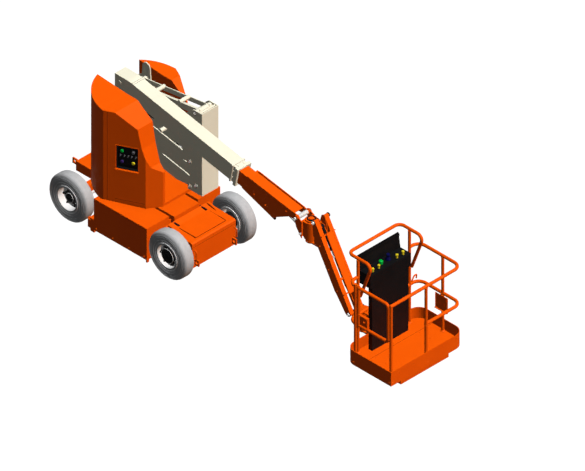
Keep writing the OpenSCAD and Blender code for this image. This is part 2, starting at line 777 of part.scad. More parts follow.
// Lines of the rails in plan: rear, front, sides, and the centres of the corner bends
rail_x0 = plat_x0 + rail_in;
rail_x1 = plat_x1 - rail_in;
rail_y = plat_hw - rail_in;
bend_r = corner_r - rail_in;
bend_x0 = plat_x0 + corner_r;
bend_x1 = plat_x1 - corner_r;
bend_y = plat_hw - corner_r;
rear_post_y = 427;

// A straight rail along Y
module y_rail(x, y0, y1, z) {
    translate([x, y0, z]) rotate([-90, 0, 0]) cylinder(r = rail_r, h = y1 - y0);
}

// A rail from the front round the far side to the rear far corner
module far_rail(z, y0) {
    y_rail(rail_x1, y0, bend_y, z);
    bend(bend_x1, bend_y, z, bend_r, 0);
    xbar(bend_x0, bend_x1, rail_y, z, rail_r);
    bend(bend_x0, bend_y, z, bend_r, 90);
}

module far_rails() {
    far_rail(rail_top, -rail_y - 13);
    far_rail(rail_mid, -12);
    post(rail_x1, -rail_y, rail_top + 8);
    post(rail_x1, 0, rail_top);
    post((bend_x0 + bend_x1) / 2 + 47, rail_y, rail_top);
}

module rear_rails() {
    y_rail(rail_x0, -bend_y, bend_y, rail_mid);
    y_rail(rail_x0, -bend_y, -rear_post_y + 7, rail_top);
    y_rail(rail_x0, rear_post_y - 7, bend_y, rail_top);
    for (s = [-1, 1]) post(rail_x0, s * rear_post_y, guard_z - rail_r + 0.5 - pin_gap);
    for (z = [rail_top, rail_mid]) bend(bend_x0, -bend_y, z, bend_r, 180);
    post(bend_x0, -rail_y, rail_top + rail_r + 12);
    gate_hinges(bend_x0, -rail_y);
}

module platform_rails() color(orange) {
    union() far_rails();
    union() rear_rails();
}

// Lugs on the gate's post, each with a pin into the gate's tube
module gate_hinges(x, y) {
    for (z = [rail_mid - 40 - pad_gap, rail_top + rail_r + pad_gap]) {
        box(x, gate_x, y - 9, y + 9, z, z + 10);
        translate([gate_x, y, z]) cylinder(r = 14, h = 10);
    }
    translate([gate_x, y, rail_mid - 35]) cylinder(r = 9, h = 30);
    translate([gate_x, y, rail_top + rail_r - 25]) cylinder(r = 9, h = 30);
}

// Hoop that guards the console
guard_z = rail_top + 264;
guard_bend_r = 80;
module console_guard() color(orange) {
    y = rear_post_y - guard_bend_r;
    for (s = [-1, 1]) {
        xbar(plat_x0 - 56, plat_x0 + 166, s * rear_post_y, guard_z, rail_r - 0.5);
        guard_leg(s * rear_post_y);
    }
    bend(plat_x0 - 56, y, guard_z, guard_bend_r, 90);
    bend(plat_x0 - 56, -y, guard_z, guard_bend_r, 180);
    y_rail(plat_x0 - 56 - guard_bend_r, -y, y, guard_z);
}

// Front bend of the hoop and its leg down to the rear post
module guard_leg(y) {
    lean = 20.4;
    bend_r = 70;
    bow_x = plat_x0 + 162;
    bow_z = guard_z - bend_r;
    leg_x = bow_x + bend_r * cos(lean) + 1.29;
    leg_z = bow_z - bend_r * sin(lean) + 3.4;
    leg_l = (leg_x - (rail_r - 0.5) * cos(lean) - rail_x0 - (rail_r - 1.5) - pin_gap) / sin(lean);
    translate([bow_x, y, bow_z]) rotate([90, 0, 0]) rotate([0, 0, -lean]) rotate_extrude(angle = 90 + lean)
        translate([bend_r, 0]) circle(r = rail_r);
    translate([leg_x, y, leg_z]) rotate([0, 180 + lean, 0]) cylinder(r = rail_r - 0.5, h = leg_l);
}

module control_console() color(black) {
    slab(-337, 337, shifted([[-33, -165], [143, -165], [143, 15], [-30, 15], [-60, 212], [-76, 212],
        [-48, -20]], [plat_x0, rail_top]));
    box(plat_x0 + 76, plat_x0 + 136, -300, 300, floor_z, rail_top - 165);
}

module console_controls() color([0.95, 0.85, 0.1]) {
    translate([plat_x0, 0, rail_top + 15]) {
        for (y = [-250, -150, 150, 250]) translate([97, y, 0]) cylinder(r = 14, h = 46);
        translate([42, -60, 0]) cylinder(r = 24, h = 40);
        translate([42, 60, 0]) cylinder(r = 18, h = 70);
    }
}

gate_x = plat_x0 + corner_r + 50;
// The gate's hoop: two rails joined by a bent end
module gate_hoop(y) {
    end_x = plat_x1 - 118;
    end_r = 44;
    for (z = [rail_top, rail_mid]) xbar(gate_x + 14, end_x + 4, y, z, rail_r - 0.5);
    translate([end_x + end_r, y, rail_mid + end_r - 4])
        cylinder(r = rail_r - 0.5, h = rail_top - rail_mid - 2 * end_r + 8);
    translate([end_x, y, rail_top - end_r]) rotate([90, 0, 0]) rotate_extrude(angle = 90)
        translate([end_r, 0]) circle(r = rail_r);
    translate([end_x, y, rail_mid + end_r]) rotate([90, 0, 0]) rotate([0, 0, -90]) rotate_extrude(angle = 90)
        translate([end_r, 0]) circle(r = rail_r);
}

module platform_gate() color(orange) {
    difference() {
        union() {
            union() gate_hoop(-rail_y);
            translate([gate_x, -rail_y, rail_mid - 30])
                cylinder(r = rail_r + 2, h = rail_top + rail_r - rail_mid + 30);
        }
        translate([gate_x, -rail_y, rail_mid - 31]) cylinder(r = 9 + pin_gap, h = rail_top - rail_mid + 90);
    }
}

translate([-shift_x, 0, 0]) {
    chassis_frame();
    drive_cover();
    battery_packs();
    drive_axle();
    steer_axle();
    slew_ring();
    steer_knuckle_left();
    steer_knuckle_right();
    steer_rod();
    drive_tyre_left();
    drive_wheel_left();
    drive_tyre_right();
    drive_wheel_right();
    steer_tyre_left();
    steer_wheel_left();
    steer_tyre_right();
    steer_wheel_right();
    turntable_base();
    hood_right();
    hood_left();
    counterweight();
    ground_controls();
    lower_arm();
    lower_link();
    tower_barrel();
    tower_rod();
    mid_upright();
    upper_arm();
    upper_link();
    top_upright();
    boom_barrel();
    boom_rod();
    boom_base();
    fly_boom();
    level_rod();
    jib_mount();
    jib_turret();
    jib_arm();
    jib_link();
    jib_barrel();
    jib_rod();
    jib_head();
    platform_mount();
    platform_floor();
    platform_rails();
    console_guard();
    control_console();
    console_controls();
    platform_gate();
}
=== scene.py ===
import json
import math

import bmesh
import bpy
from mathutils import Matrix, Vector


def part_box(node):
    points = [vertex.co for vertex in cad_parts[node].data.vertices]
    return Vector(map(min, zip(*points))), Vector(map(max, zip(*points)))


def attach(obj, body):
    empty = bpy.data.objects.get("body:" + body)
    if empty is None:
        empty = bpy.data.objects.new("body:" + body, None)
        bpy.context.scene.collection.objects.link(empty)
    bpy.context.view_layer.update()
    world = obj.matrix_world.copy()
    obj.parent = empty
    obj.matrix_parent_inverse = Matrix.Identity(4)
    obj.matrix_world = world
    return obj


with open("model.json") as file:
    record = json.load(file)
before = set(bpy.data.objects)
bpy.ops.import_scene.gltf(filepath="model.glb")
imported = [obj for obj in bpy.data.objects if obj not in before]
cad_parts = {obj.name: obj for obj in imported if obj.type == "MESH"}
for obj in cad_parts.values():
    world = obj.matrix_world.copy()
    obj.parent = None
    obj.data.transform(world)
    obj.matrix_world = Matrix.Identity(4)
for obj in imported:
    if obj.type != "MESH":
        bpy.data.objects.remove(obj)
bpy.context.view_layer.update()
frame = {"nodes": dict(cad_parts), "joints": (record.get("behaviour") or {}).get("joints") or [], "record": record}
nodes = frame["nodes"]
record = frame["record"]

MM = 0.001
SIDES = (-1, 1)
UP = (0, 0, 1)
DOWN = (0, 0, -1)
AHEAD = (1, 0, 0)

# Bolt heads, in metres: width across the head, then height
WHEEL_NUT = (0.028, 0.022)
HUB_SCREW = (0.011, 0.006)
LID_BOLT = (0.016, 0.009)
PANEL_BOLT = (0.016, 0.008)
FLANGE_BOLT = (0.018, 0.01)
PLATE_BOLT = (0.014, 0.008)
SLEW_BOLT = (0.02, 0.012)
MOUNT_BOLT = (0.022, 0.02)
TURRET_BOLT = (0.012, 0.007)
FLOOR_BOLT = (0.014, 0.006)
TOE_BOLT = (0.014, 0.007)
CONSOLE_SCREW = (0.012, 0.006)

# Places of the wheels, in metres, read from the frame
tyre_low, tyre_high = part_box("drive_tyre_left")
drive_x = (tyre_low.x + tyre_high.x) / 2
axle_z = (tyre_low.z + tyre_high.z) / 2
tyre_r = (tyre_high.z - tyre_low.z) / 2
wheel_y = (tyre_low.y + tyre_high.y) / 2
steer_low, steer_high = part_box("steer_tyre_left")
steer_x = (steer_low.x + steer_high.x) / 2
wheelbase_x = (drive_x + steer_x) / 2

# Angles of the stowed machine, in degrees
boom_tilt = 11.3
jib_tilt = 60.3
control_face_turn = 26.2


def joint_point(name):
    """Where a joint's axis passes, in the row frame."""
    joint = next(j for j in frame["joints"] if j["name"] == name)
    return Vector(joint["pos_m"])


def mm(x, y, z):
    """A length or a local point given in millimetres."""
    return Vector((x, y, z)) * MM


def mx(x, y, z):
    """A point given in millimetres from the wheelbase centre, in the row frame."""
    return Vector((wheelbase_x, 0, 0)) + mm(x, y, z)


def tilted(point, degrees):
    """A local frame at a point, with its X axis tipped down by an angle."""
    return Matrix.Translation(point) @ Matrix.Rotation(math.radians(degrees), 4, "Y")


def around(radius, turn, height):
    """A point at an angle on a circle about local Z."""
    return Vector((radius * math.cos(turn), radius * math.sin(turn), height))


# Local frames: wheelbase centre, base boom's rear end, nose pin, jib's upper pin and the control face
MACHINE = Matrix.Translation((wheelbase_x, 0, 0))
ON_BOOM = tilted(mx(-324.1, 0, 1892.3), boom_tilt)
ON_NOSE = tilted(mx(2480, 0, 1450), boom_tilt)
ON_JIB = tilted(mx(2782, 0, 1538), jib_tilt)
ON_CONTROL_FACE = (Matrix.Translation(mx(-205, -593, 0))
                   @ Matrix.Rotation(math.radians(control_face_turn), 4, "Z"))


# Materials

def new_material(name):
    material = bpy.data.materials.new(name)
    material.use_nodes = True
    tree = material.node_tree
    shader = tree.nodes["Principled BSDF"]
    return material, tree, shader


def noise(tree, scale, detail=3.0, roughness=0.5):
    """Solid noise over the piece's own coordinates."""
    coords = tree.nodes.new("ShaderNodeTexCoord")
    texture = tree.nodes.new("ShaderNodeTexNoise")
    texture.inputs["Scale"].default_value = scale
    texture.inputs["Detail"].default_value = detail
    texture.inputs["Roughness"].default_value = roughness
    tree.links.new(coords.outputs["Object"], texture.inputs["Vector"])
    return texture.outputs["Fac"]


def ramp(tree, factor, stops):
    node = tree.nodes.new("ShaderNodeValToRGB")
    elements = node.color_ramp.elements
    while len(elements) < len(stops):
        elements.new(0.5)
    for element, (place, colour) in zip(elements, stops):
        element.position = place
        element.color = (*colour, 1.0)
    tree.links.new(factor, node.inputs["Fac"])
    return node.outputs["Color"]


def spread(tree, factor, low, high):
    node = tree.nodes.new("ShaderNodeMapRange")
    node.inputs["To Min"].default_value = low
    node.inputs["To Max"].default_value = high
    tree.links.new(factor, node.inputs["Value"])
    return node.outputs["Result"]


def bump(tree, shader, height, distance):
    node = tree.nodes.new("ShaderNodeBump")
    node.inputs["Distance"].default_value = distance
    tree.links.new(height, node.inputs["Height"])
    tree.links.new(node.outputs["Normal"], shader.inputs["Normal"])


def scaled(colour, factor):
    return tuple(min(1.0, c * factor) for c in colour)


def paint(name, colour, roughness=0.5, peel=0.00025, shade=0.05):
    """Sprayed enamel: faint cloudiness, orange-peel bump and uneven gloss."""
    material, tree, shader = new_material(name)
    cloud = noise(tree, scale=2.2, detail=5.0, roughness=0.6)
    colours = [(0.3, scaled(colour, 1 - shade)), (0.7, scaled(colour, 1 + shade))]
    tree.links.new(ramp(tree, cloud, colours), shader.inputs["Base Color"])
    patches = noise(tree, scale=9.0, detail=4.0)
    gloss = spread(tree, patches, roughness - 0.06, roughness + 0.08)
    tree.links.new(gloss, shader.inputs["Roughness"])
    shader.inputs["Specular IOR Level"].default_value = 0.08
    bump(tree, shader, noise(tree, scale=160.0, detail=2.0), peel)
    return material


def plastic(name, colour, roughness=0.5):
    """Moulded plastic with a fine spark-eroded grain."""
    material, tree, shader = new_material(name)
    cloud = noise(tree, scale=6.0, detail=4.0)
    colours = [(0.3, scaled(colour, 0.82)), (0.7, scaled(colour, 1.2))]
    tree.links.new(ramp(tree, cloud, colours), shader.inputs["Base Color"])
    gloss = spread(tree, noise(tree, scale=30.0), roughness - 0.1, roughness + 0.1)
    tree.links.new(gloss, shader.inputs["Roughness"])
    shader.inputs["Specular IOR Level"].default_value = 0.12
    bump(tree, shader, noise(tree, scale=700.0, detail=2.0), 0.0003)
    return material


def metal(name, colour):
    """Turned or drawn steel with fine streaks."""
    material, tree, shader = new_material(name)
    streak = noise(tree, scale=60.0, detail=6.0, roughness=0.7)
    colours = [(0.25, scaled(colour, 0.8)), (0.75, colour)]
    tree.links.new(ramp(tree, streak, colours), shader.inputs["Base Color"])
    gloss = spread(tree, streak, 0.22, 0.42)
    tree.links.new(gloss, shader.inputs["Roughness"])
    shader.inputs["Metallic"].default_value = 0.15
    bump(tree, shader, streak, 0.0002)
    return material


def rubber(name, centre_x):
    """Tyre rubber about one axle: a pale tread and dark walls."""
    material, tree, shader = new_material(name)
    coords = tree.nodes.new("ShaderNodeTexCoord")
    shift = tree.nodes.new("ShaderNodeVectorMath")
    shift.operation = "SUBTRACT"
    shift.inputs[1].default_value = (centre_x, 0, axle_z)
    tree.links.new(coords.outputs["Object"], shift.inputs[0])
    flat = tree.nodes.new("ShaderNodeVectorMath")
    flat.operation = "MULTIPLY"
    flat.inputs[1].default_value = (1, 0, 1)
    tree.links.new(shift.outputs["Vector"], flat.inputs[0])
    length = tree.nodes.new("ShaderNodeVectorMath")
    length.operation = "LENGTH"
    tree.links.new(flat.outputs["Vector"], length.inputs[0])
    radius = tree.nodes.new("ShaderNodeMath")
    radius.operation = "DIVIDE"
    radius.inputs[1].default_value = tyre_r
    tree.links.new(length.outputs["Value"], radius.inputs[0])
    wall = (0.4, 0.41, 0.425)
    bead = (0.5, 0.51, 0.525)
    tread = (0.56, 0.565, 0.575)
    stops = [(0.50, bead), (0.585, bead), (0.6, wall), (0.885, scaled(wall, 1.15)),
             (0.935, scaled(tread, 0.85)), (0.975, tread)]
    colour = ramp(tree, radius.outputs["Value"], stops)
    dust = tree.nodes.new("ShaderNodeMix")
    dust.data_type = "RGBA"
    dust.blend_type = "MULTIPLY"
    dust.inputs["Factor"].default_value = 0.5
    tree.links.new(colour, dust.inputs["A"])
    specks = noise(tree, scale=22.0, detail=6.0, roughness=0.65)
    grain = ramp(tree, specks, [(0.3, (0.72, 0.72, 0.72)), (0.7, (1, 1, 1))])
    tree.links.new(grain, dust.inputs["B"])
    tree.links.new(dust.outputs["Result"], shader.inputs["Base Color"])
    shader.inputs["Roughness"].default_value = 0.8
    shader.inputs["Specular IOR Level"].default_value = 0.1
    bump(tree, shader, noise(tree, scale=260.0), 0.0006)
    return material


orange = (1.0, 0.112, 0.0)
cream = (0.95, 0.92, 0.73)
orange_paint = paint("orange_paint", orange)
cream_paint = paint("cream_paint", cream, shade=0.03)
black_paint = paint("black_paint", (0.01, 0.01, 0.011))
white_paint = paint("white_paint", (0.9, 0.9, 0.89), roughness=0.35, shade=0.03)
black_plastic = plastic("black_plastic", (0.006, 0.0065, 0.0075))
bright_steel = metal("bright_steel", (0.97, 0.97, 0.96))
battery_case = plastic("battery_case", (0.02, 0.02, 0.023), roughness=0.6)
casting = paint("casting", scaled(orange, 0.9), roughness=0.55, peel=0.001)
seam_paint = paint("seam_paint", (0.3, 0.03, 0.0), roughness=0.7)
tyre_drive = rubber("tyre_drive", drive_x)
tyre_steer = rubber("tyre_steer", steer_x)
yellow_plastic = plastic("yellow_plastic", (0.75, 0.62, 0.02), roughness=0.35)
green_plastic = plastic("green_plastic", (0.0, 0.46, 0.05), roughness=0.35)
blue_plastic = plastic("blue_plastic", (0.004, 0.004, 0.07), roughness=0.4)
purple_plastic = plastic("purple_plastic", (0.05, 0.02, 0.14), roughness=0.4)
grey_plastic = plastic("grey_plastic", (0.12, 0.12, 0.13), roughness=0.4)

slot_materials = {
    "orange_paint": orange_paint, "cream_paint": cream_paint, "black_metal": black_paint,
    "steel": bright_steel, "rim": white_paint, "battery": battery_case, "casting": casting,
    "black_plastic": black_plastic, "control_knobs": yellow_plastic,
}


def dress_nodes():
    """Gives each CAD node the finish of its slot."""
    for subpart in record["subparts"]:
        name, slot_name = subpart["node"], subpart["material_slot"]
        material = slot_materials.get(slot_name)
        if "_tyre_" in name:
            material = tyre_drive if name.startswith("drive") else tyre_steer
        for material_slot in nodes[name].material_slots:
            material_slot.material = material
        nodes[name].visible_diffuse = False


# Mesh helpers

def finish_mesh(name, shape, material, body):
    """Turns a bmesh into a piece that rides on a body."""
    smooth_angle = 35
    bmesh.ops.recalc_face_normals(shape, faces=shape.faces)
    mesh = bpy.data.meshes.new(name)
    shape.to_mesh(mesh)
    shape.free()
    mesh.shade_smooth()
    mesh.set_sharp_from_angle(angle=math.radians(smooth_angle))
    mesh.materials.append(material)
    piece = bpy.data.objects.new(name, mesh)
    piece.visible_diffuse = False
    bpy.context.scene.collection.objects.link(piece)
    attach(piece, body)


def join_rings(shape, rings):
    """Faces between rings of points, with both ends closed."""
    for low, high in zip(rings, rings[1:]):
        count = len(low)
        for k in range(count):
            after = (k + 1) % count
            shape.faces.new((low[k], low[after], high[after], high[k]))
    shape.faces.new(rings[0])
    shape.faces.new(rings[-1])


def add_lathe(shape, profile, place, sides, lobes=0, lobe_depth=0.0):
    """Revolves (radius, height) points about local Z. Lobes wave the radius around the turn."""
    rings = []
    for radius, height in profile:
        ring = []
        for k in range(sides):
            turn = 2 * math.pi * k / sides
            wave = radius * (1 + lobe_depth * math.cos(lobes * turn))
            ring.append(shape.verts.new(place @ around(wave, turn, height)))
        rings.append(ring)
    join_rings(shape, rings)


def add_ring(shape, profile, place, sides):
    """Revolves a closed (radius, height) outline about local Z, as a ring with a hole."""
    rings = []
    for k in range(sides):
        spin = place @ Matrix.Rotation(2 * math.pi * k / sides, 4, "Z")
        rings.append([shape.verts.new(spin @ Vector((r, 0, h))) for r, h in profile])
    count = len(profile)
    for here, after in zip(rings, rings[1:] + rings[:1]):
        for i in range(count):
            j = (i + 1) % count
            shape.faces.new((here[i], here[j], after[j], after[i]))


def add_box(shape, low, high, place=MACHINE, bevel=0.002):
    """A box between two corners given in millimetres, with small rounded edges."""
    low, high = mm(*low), mm(*high)
    size = high - low
    spot = place @ Matrix.Translation((low + high) / 2) @ Matrix.Diagonal((*size, 1))
    made = bmesh.ops.create_cube(shape, size=1, matrix=spot)
    edges = list(dict.fromkeys(edge for vert in made["verts"] for edge in vert.link_edges))
    widest_share = 0.3
    offset = min(bevel, min(size) * widest_share)
    bmesh.ops.bevel(shape, geom=edges, offset=offset, segments=2, affect="EDGES")


def add_bolt(shape, place, size):
    """A hexagon head with a chamfered top on a washer, standing on local Z = 0."""
    across, height = size
    radius = across / 2
    washer_r = radius * 1.35
    washer_top = height * 0.2
    add_lathe(shape, [(washer_r, 0), (washer_r, washer_top)], place, sides=20)
    head = [(radius, washer_top), (radius, height * 0.85), (radius * 0.85, height)]
    add_lathe(shape, head, place, sides=6)


def add_tube(shape, points, radius):
    """A round bar along a path of points."""
    sides = 12
    rings = []
    side = None
    for i, point in enumerate(points):
        before = points[max(i - 1, 0)]
        after = points[min(i + 1, len(points) - 1)]
        along = (after - before).normalized()
        if side is None:
            helper = Vector((0, 0, 1)) if abs(along.z) < 0.9 else Vector((1, 0, 0))
            side = along.cross(helper)
        side = (side - along * side.dot(along)).normalized()
        up = along.cross(side)
        ring = []
        for k in range(sides):
            turn = 2 * math.pi * k / sides
            spoke = side * math.cos(turn) + up * math.sin(turn)
            ring.append(shape.verts.new(point + spoke * radius))
        rings.append(ring)
    join_rings(shape, rings)


def rounded_path(points, radius):
    """A path through points with its corners turned into curves."""
    steps = 6
    path = [points[0]]
    for before, corner, after in zip(points, points[1:], points[2:]):
        back = (before - corner).normalized()
        on = (after - corner).normalized()
        start, end = corner + back * radius, corner + on * radius
        for k in range(steps + 1):
            t = k / steps
            path.append(start * (1 - t) ** 2 + corner * 2 * t * (1 - t) + end * t ** 2)
    path.append(points[-1])
    return path


def facing(point, direction):
    """A local frame at a point with its Z axis along a direction."""
    turn = Vector(direction).to_track_quat("Z", "Y").to_matrix().to_4x4()
    return Matrix.Translation(point) @ turn


# Wheels

def wheel_frame(x, side):
    """The wheel's own frame: its outer side is +Z."""
    outward = Matrix.Rotation(-side * math.pi / 2, 4, "X")
    return Matrix.Translation((x, side * wheel_y, axle_z)) @ outward


def make_hub(name, body, place, disc_z, drum_r, drum_z, flange_r):
    """A black lobed flange and stepped drum over the wheel's own hub, with nuts and screws."""
    nut_count, nut_circle = 6, 0.118
    screw_count = 8
    flange_top = disc_z + 0.016
    step = drum_r * 0.82
    shape = bmesh.new()
    flange = [(flange_r, disc_z), (flange_r, disc_z + 0.012), (flange_r * 0.97, flange_top)]
    add_lathe(shape, flange, place, lobes=nut_count, lobe_depth=0.12, sides=96)
    drum = [(drum_r, disc_z + 0.014), (drum_r, drum_z - 0.006), (drum_r - 0.006, drum_z),
            (step, drum_z + 0.001), (step - 0.004, drum_z + 0.005), (step * 0.55, drum_z + 0.006),
            (step * 0.52, drum_z + 0.009), (step * 0.46, drum_z + 0.011), (0.004, drum_z + 0.011)]
    add_lathe(shape, drum, place, sides=64)
    for k in range(nut_count):
        nut = around(nut_circle, 2 * math.pi * k / nut_count, flange_top)
        add_bolt(shape, place @ Matrix.Translation(nut), WHEEL_NUT)
    for k in range(screw_count):
        screw = around(step * 0.78, 2 * math.pi * (k + 0.5) / screw_count, drum_z + 0.004)
        add_bolt(shape, place @ Matrix.Translation(screw), HUB_SCREW)
    finish_mesh(name, shape, black_paint, body)


def make_wall_rings(name, body, place, material):
    """Moulded rings on both walls of a tyre."""
    half = 0.003
    sunk, proud = 0.004, 0.0022
    radius_and_wall = ((0.186, 0.0805), (0.214, 0.086), (0.252, 0.0876), (0.272, 0.0853), (0.29, 0.078))
    shape = bmesh.new()
    for flip in (0, math.pi):
        wall = place @ Matrix.Rotation(flip, 4, "X")
        for radius, out in radius_and_wall:
            ring = [(radius - half, out - sunk), (radius - half * 0.5, out + proud),
                    (radius + half * 0.5, out + proud), (radius + half, out - sunk)]
            add_ring(shape, ring, wall, sides=72)
    finish_mesh(name, shape, material, body)


def make_rim_lip(name, body, place, material):
    """The dark lip between the tyre's bead and the white dish, and the tyre's valve."""
    shape = bmesh.new()
    lip = [(0.1535, 0.080), (0.1535, 0.0862), (0.163, 0.0875), (0.174, 0.0862), (0.1755, 0.080)]
    add_ring(shape, lip, place, sides=72)
    valve = [(0.006, 0), (0.006, 0.014), (0.004, 0.02)]
    add_lathe(shape, valve, place @ Matrix.Translation((0.138, 0, 0.06)), sides=10)
    finish_mesh(name, shape, material, body)


def make_wheels():
    for side, word in ((1, "left"), (-1, "right")):
        drive = wheel_frame(drive_x, side)
        steer = wheel_frame(steer_x, side)
        make_hub("drive_hub_" + word, "drive_wheel_" + word, drive,
                 disc_z=0.0285, drum_r=0.0992, drum_z=0.0725, flange_r=0.118)
        make_hub("steer_hub_" + word, "steer_wheel_" + word, steer,
                 disc_z=-0.0105, drum_r=0.0632, drum_z=0.0445, flange_r=0.106)
        make_wall_rings("drive_rings_" + word, "drive_wheel_" + word, drive, tyre_drive)
        make_wall_rings("steer_rings_" + word, "steer_wheel_" + word, steer, tyre_steer)
        make_rim_lip("drive_lip_" + word, "drive_wheel_" + word, drive, tyre_drive)
        make_rim_lip("steer_lip_" + word, "steer_wheel_" + word, steer, tyre_steer)


# Pins

def add_pin_head(shape, place, radius, reach):
    """A turned pin head with a dished face, standing on local Z."""
    dish = reach * 0.7
    head = [(radius, -0.002), (radius, dish), (radius * 0.86, reach), (radius * 0.5, reach),
            (radius * 0.42, dish), (0.002, dish)]
    add_lathe(shape, head, place, sides=28)


def make_pins(name, body, places, radius, reach, middle_y=0):
    """Bright pin heads in dark collars. Each place is a point and its offsets across, in millimetres."""
    collar_r, collar_top, collar_foot = radius * 1.3, reach * 0.4, -0.001
    collar = [(radius, collar_foot), (radius, collar_top), (collar_r, collar_top), (collar_r, collar_foot)]
    heads = bmesh.new()
    collars = bmesh.new()
    for point, offsets in places:
        for offset in offsets:
            side = 1 if offset > middle_y else -1
            place = facing(Vector((point.x, offset * MM, point.z)), (0, side, 0))
            add_pin_head(heads, place, radius, reach)
            add_ring(collars, collar, place, sides=28)
    finish_mesh(name, heads, bright_steel, body)
    finish_mesh(name + "_collars", collars, black_paint, body)


def make_upright_pins():
    """Pin heads on both cheeks of the mid upright."""
    tower_y, cheek, wide_cheek = 238, 136, 140
    low_sides = (tower_y - wide_cheek, tower_y + cheek)
    high_sides = (tower_y - cheek, tower_y + cheek)
    arm_pin = joint_point("mid_level")
    link_pin = arm_pin - mm(0, 0, 353)
    brace_pin = arm_pin + mm(99, 0, -301.5)
    places = [(pin, low_sides) for pin in (arm_pin, link_pin, brace_pin)]
    places += [(joint_point(name), high_sides) for name in ("upper_arm_lift", "upper_link_turn")]
    make_pins("upright_pins", "mid_upright", places, radius=0.019, reach=0.008, middle_y=tower_y)


def make_jib_pins():
    """Pin heads at both ends of the jib and on the nose, with the nose's bright sleeve."""
    jib_sides, nose_sides, rod_sides = (-118, 118), (-114, 114), (-42, 42)
    jib = joint_point("jib_lift")
    end = joint_point("head_level")
    nose = joint_point("mount_level")
    rod = nose + mm(25, 0, -218)
    make_pins("jib_pins", "jib_turret", [(jib, jib_sides)], radius=0.022, reach=0.024)
    make_pins("jib_end_pins", "jib_head", [(end, jib_sides)], radius=0.022, reach=0.02)
    make_pins("nose_pins", "jib_mount", [(nose, nose_sides), (rod, rod_sides)], radius=0.02, reach=0.022)
    sleeve_r, sleeve_half = 0.0285, 0.073
    sleeve = bmesh.new()
    pipe = [(sleeve_r, -sleeve_half), (sleeve_r, sleeve_half)]
    add_lathe(sleeve, pipe, facing(nose, (0, 1, 0)), sides=32)
    finish_mesh("nose_sleeve", sleeve, bright_steel, "jib_mount")


# Chassis and turntable

def make_chassis_seams():
    """Dark seams of the tub's lid, the drive end's lid and end plate, and the side boxes."""
    seam_w = 4
    tub_low, tub_high = 554, 556
    seams = bmesh.new()
    for y in (-209, 205):
        add_box(seams, (380, y, tub_low), (560, y + seam_w, tub_high))
    add_box(seams, (280, -208, tub_low), (280 + seam_w, 208, tub_high))
    for y in (-252, 248):
        add_box(seams, (688, y, 473), (952, y + seam_w, 485), bevel=0.001)
    add_box(seams, (950, -250, 464), (950 + seam_w, 250, 474), bevel=0.001)
    add_box(seams, (1009, -362, 404), (1011, 362, 407), bevel=0.0005)
    for side in SIDES:
        y_low, y_high = sorted((side * 608.5, side * 610.5))
        add_box(seams, (-366, y_low, 528), (497, y_high, 531), bevel=0.0005)
    finish_mesh("chassis_seams", seams, seam_paint, "chassis")


def make_chassis_fittings():
    """Lid hinges, tie loops on the drive end and stops beside the steer axle."""
    hinge_y, hinge_half = 229, 13
    loop_y, bend_r, bar_r = 334, 0.022, 0.009
    hinges = bmesh.new()
    loops = bmesh.new()
    stops = bmesh.new()
    for side in SIDES:
        y = side * hinge_y
        add_box(hinges, (540, y - hinge_half, 484), (660, y + hinge_half, 497))
        y = side * loop_y
        corners = [mx(1004, y, 236), mx(1052, y, 236), mx(1052, y, 362), mx(1004, y, 362)]
        add_tube(loops, rounded_path(corners, bend_r), bar_r)
        y_low, y_high = sorted((side * 545, side * 603))
        add_box(stops, (-498, y_low, 82), (-372, y_high, 228), bevel=0.016)
    finish_mesh("cover_hinges", hinges, black_paint, "chassis")
    finish_mesh("tie_loops", loops, orange_paint, "chassis")
    finish_mesh("axle_stops", stops, orange_paint, "chassis")


def make_chassis_bolts():
    """Bolts on the drive end's sides and end plate, the side boxes and the drive flanges."""
    flange_count, flange_circle, flange_y = 8, 0.086, 0.395
    bolts = bmesh.new()
    for side in SIDES:
        for x in (640, 760, 880, 970):
            add_bolt(bolts, facing(mx(x, side * 362, 425), (0, side, 0)), LID_BOLT)
        for x in (-330, -60, 210, 460):
            add_bolt(bolts, facing(mx(x, side * 610, 140), (0, side, 0)), PANEL_BOLT)
        axle = joint_point("drive_spin_left")
        axle.y = side * flange_y
        for k in range(flange_count):
            angle = math.radians(360 / flange_count * (k + 0.5))
            spoke = Vector((math.cos(angle) * flange_circle, 0, math.sin(angle) * flange_circle))
            add_bolt(bolts, facing(axle + spoke, (0, -side, 0)), FLANGE_BOLT)
    for y in (-300, -150, 0, 150, 300):
        add_bolt(bolts, facing(mx(1010, y, 430), AHEAD), PLATE_BOLT)
    finish_mesh("chassis_bolts", bolts, orange_paint, "chassis")


def make_hood_trim():
    """Seams of the near hood and the raised lip around its control opening."""
    seam_x, seam_half = 28, 2.5
    seams = bmesh.new()
    add_box(seams, (-seam_half, -1.2, 640), (seam_half, 1, 1880),
            ON_CONTROL_FACE @ Matrix.Translation(mm(seam_x, 0, 0)), bevel=0.0005)
    add_box(seams, (124, -1, 660), (500, 1, 664), ON_CONTROL_FACE, bevel=0.0005)
    finish_mesh("hood_seams", seams, seam_paint, "turntable")
    lip = bmesh.new()
    add_box(lip, (128, -16, 1084), (419, 6, 1098), ON_CONTROL_FACE)
    for x in (126, 413):
        add_box(lip, (x, -5, 1094), (x + 8, 5, 1440), ON_CONTROL_FACE)
    add_box(lip, (126, -5, 1433), (421, 5, 1441), ON_CONTROL_FACE)
    finish_mesh("control_lip", lip, orange_paint, "turntable")


